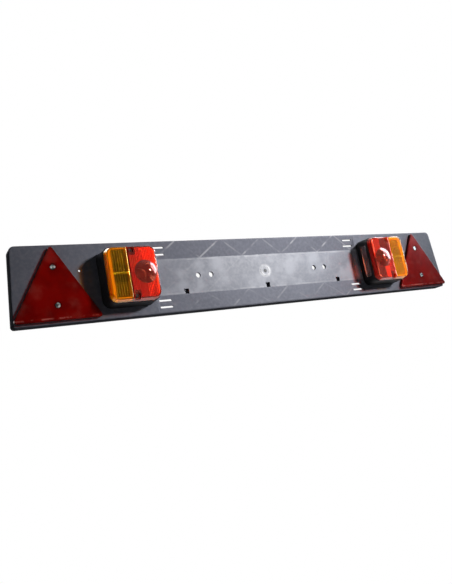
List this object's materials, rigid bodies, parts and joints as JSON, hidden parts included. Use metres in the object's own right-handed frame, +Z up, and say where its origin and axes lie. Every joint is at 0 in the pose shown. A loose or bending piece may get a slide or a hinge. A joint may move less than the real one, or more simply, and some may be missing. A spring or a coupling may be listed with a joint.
{
  "type": "trailer lighting board",
  "caption": "Long grey plastic board with a recessed number plate field, square combination rear lamps in amber and red, and triangular red reflectors at its ends.",
  "frame": {"origin": "mid-length and mid-height of the board, on the rear of the clamp pads, in the middle of the clamp holes", "axes": "front faces -Y, +Z up, +X to the right seen from the front"},
  "size_m": [1.0392, 0.0815, 0.142],
  "materials": {
    "board_plastic": "grey moulded plastic, faintly grained",
    "black_plastic": "black moulded plastic",
    "reflector_red": "clear red acrylic with prisms behind a smooth face",
    "lamp_red": "clear red acrylic, prismatic, with a smooth dome",
    "lamp_amber": "clear amber acrylic, fluted behind",
    "clear_window": "clear acrylic",
    "bulb_glass": "clear glass",
    "rubber": "black rubber",
    "zinc": "zinc plated steel",
    "brass": "plain brass"
  },
  "bodies": {
    "root": {"board": "board_plastic", "board_rim": "board_plastic", "reflector_screws": "zinc", "reflector_washers": "zinc", "reflector_nuts": "zinc", "lamp_bolts": "zinc", "lamp_washers": "zinc", "lamp_nuts": "zinc", "lens_screws": "zinc", "socket_rivets": "zinc", "cable_grommets": "rubber", "indicator_sockets": "zinc", "stop_sockets": "zinc", "indicator_contacts": "black_plastic", "stop_contacts": "black_plastic", "indicator_bulb_caps": "brass", "stop_bulb_caps": "brass", "indicator_bulb_glasses": "bulb_glass", "stop_bulb_glasses": "bulb_glass", "left_reflector_back": "black_plastic", "right_reflector_back": "black_plastic", "left_reflector_lens": "reflector_red", "right_reflector_lens": "reflector_red", "left_lamp_base": "black_plastic", "right_lamp_base": "black_plastic", "left_plate_window": "clear_window", "right_plate_window": "clear_window", "left_lens_seal": "rubber", "right_lens_seal": "rubber", "left_amber_lens": "lamp_amber", "right_amber_lens": "lamp_amber", "left_red_lens": "lamp_red", "right_red_lens": "lamp_red"}
  },
  "joints": []
}
